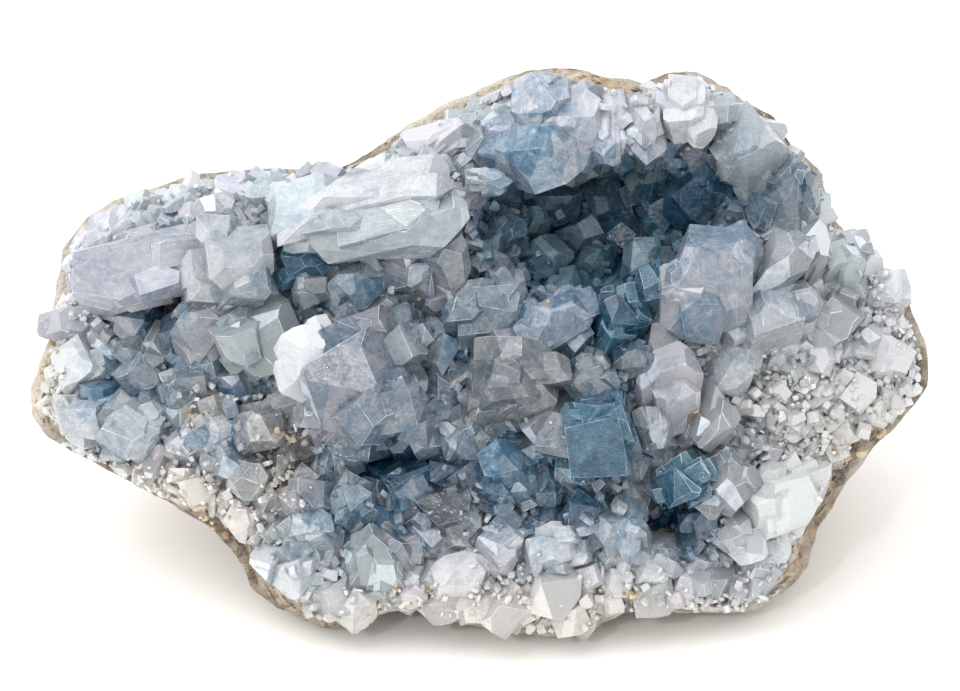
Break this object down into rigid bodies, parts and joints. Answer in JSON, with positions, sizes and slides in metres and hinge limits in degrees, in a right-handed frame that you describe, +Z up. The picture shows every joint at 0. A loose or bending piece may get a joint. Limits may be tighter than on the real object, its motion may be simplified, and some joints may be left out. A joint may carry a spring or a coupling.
{
  "type": "crystal cluster",
  "caption": "Pale blue celestite crystals grown in a crust with a deep hollow, on a rough leaning bowl of rock rind that lies on its back edge.",
  "frame": {"origin": "centre of the bounding box, on the surface that the specimen lies on", "axes": "+X to the right along the length, -Y towards the viewer of the crystal side, +Z up"},
  "size_m": [0.1472, 0.0781, 0.0782],
  "materials": {
    "rind": "rough tan and grey-brown rock, fine-grained and matte",
    "celestite": "pale blue-grey translucent crystal with frosty white edges and milky, sugary patches",
    "deep_celestite": "clear dark blue crystal, glossy"
  },
  "bodies": {
    "root": {"rock_rind": "rind", "crystal_crust": "celestite", "hollow_crust": "deep_celestite"}
  },
  "joints": []
}
